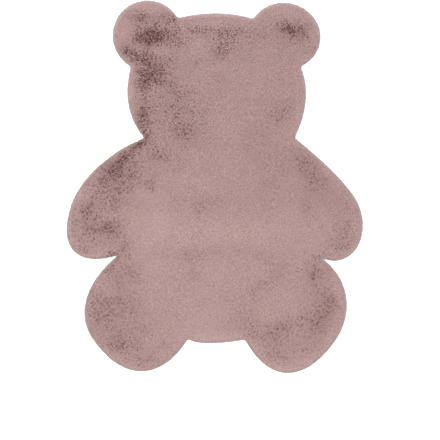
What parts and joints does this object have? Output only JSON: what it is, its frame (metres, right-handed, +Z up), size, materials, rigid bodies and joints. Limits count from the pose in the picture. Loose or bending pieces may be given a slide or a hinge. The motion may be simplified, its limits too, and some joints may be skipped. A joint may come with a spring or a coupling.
{
  "type": "bear shaped kids rug",
  "caption": "Flat bear shaped rug of short dusty rose plush, with a head with round ears, a body, hands and feet in one outline, and a plain flat underside.",
  "frame": {"origin": "on the floor, under the middle of the rug's box", "axes": "+Z up, out of the pile; +Y towards the head, along the rug's length; +X towards the rug's right side, seen from above with the head at the top"},
  "size_m": [0.7948, 1, 0.0219],
  "materials": {
    "plush": "matt short plush pile with a soft sheen, dusty rose"
  },
  "bodies": {
    "root": {"bear_rug": "plush"}
  },
  "joints": []
}
